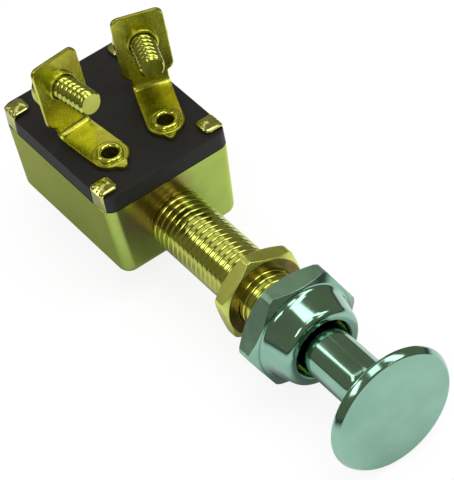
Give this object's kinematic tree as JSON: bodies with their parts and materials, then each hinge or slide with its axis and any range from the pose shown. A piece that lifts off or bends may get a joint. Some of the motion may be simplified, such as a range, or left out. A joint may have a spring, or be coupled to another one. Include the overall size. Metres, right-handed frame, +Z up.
{
  "type": "push-pull switch",
  "caption": "Panel-mounted push-pull switch: drawn brass case with screw terminals on a black board, threaded stem with clamping nuts, and a sliding rod with a plated disc knob.",
  "frame": {"origin": "on the stem axis, in the front face of the case where the stem leaves it", "axes": "X to the right seen from the knob, +Y along the stem axis into the case, +Z up through the terminal board"},
  "size_m": [0.029, 0.0961, 0.0412],
  "materials": {
    "drawn_brass": "drawn, bright",
    "stamped_brass": "stamped, bright",
    "turned_brass": "turned, threaded",
    "chrome_plate": "polished plate",
    "rod_steel": "ground",
    "contact_metal": "coined",
    "phenolic": "moulded, satin",
    "fibre": "bent sheet",
    "rubber": "moulded"
  },
  "bodies": {
    "base": {"case": "drawn_brass", "terminal_board": "phenolic", "terminal_left": "stamped_brass", "terminal_right": "stamped_brass", "rivet_left": "stamped_brass", "rivet_right": "stamped_brass", "mounting_stem": "turned_brass", "insulating_liner": "fibre", "cushion_ring": "rubber"},
    "plunger": {"knob": "chrome_plate", "plunger_rod": "rod_steel", "carrier": "phenolic", "rod_clip": "rod_steel", "contact_bridge": "stamped_brass", "button_left": "contact_metal", "button_right": "contact_metal", "contact_spring": "rod_steel", "drag_leaf": "rod_steel"},
    "face_nut": {"face_nut": "chrome_plate"},
    "back_nut": {"back_nut": "turned_brass"},
    "screw_left": {"screw_left": "turned_brass"},
    "screw_right": {"screw_right": "turned_brass"}
  },
  "joints": [
    {"name": "knob_pull", "type": "slide", "parent": "base", "child": "plunger", "axis": [0, -1, 0], "range_m": [0, 0.007]},
    {"name": "face_nut_run", "type": "slide", "parent": "base", "child": "face_nut", "axis": [0, 1, 0], "range_m": [0, 0.0065]},
    {"name": "back_nut_run", "type": "slide", "parent": "base", "child": "back_nut", "axis": [0, 1, 0], "range_m": [0, 0.0222]},
    {"name": "screw_left_run", "type": "slide", "parent": "base", "child": "screw_left", "axis": [-0.0798, 0.9913, -0.1045], "range_m": [0, 0.006]},
    {"name": "screw_right_run", "type": "slide", "parent": "base", "child": "screw_right", "axis": [0.3532, 0.9297, -0.1045], "range_m": [0, 0.006]}
  ]
}
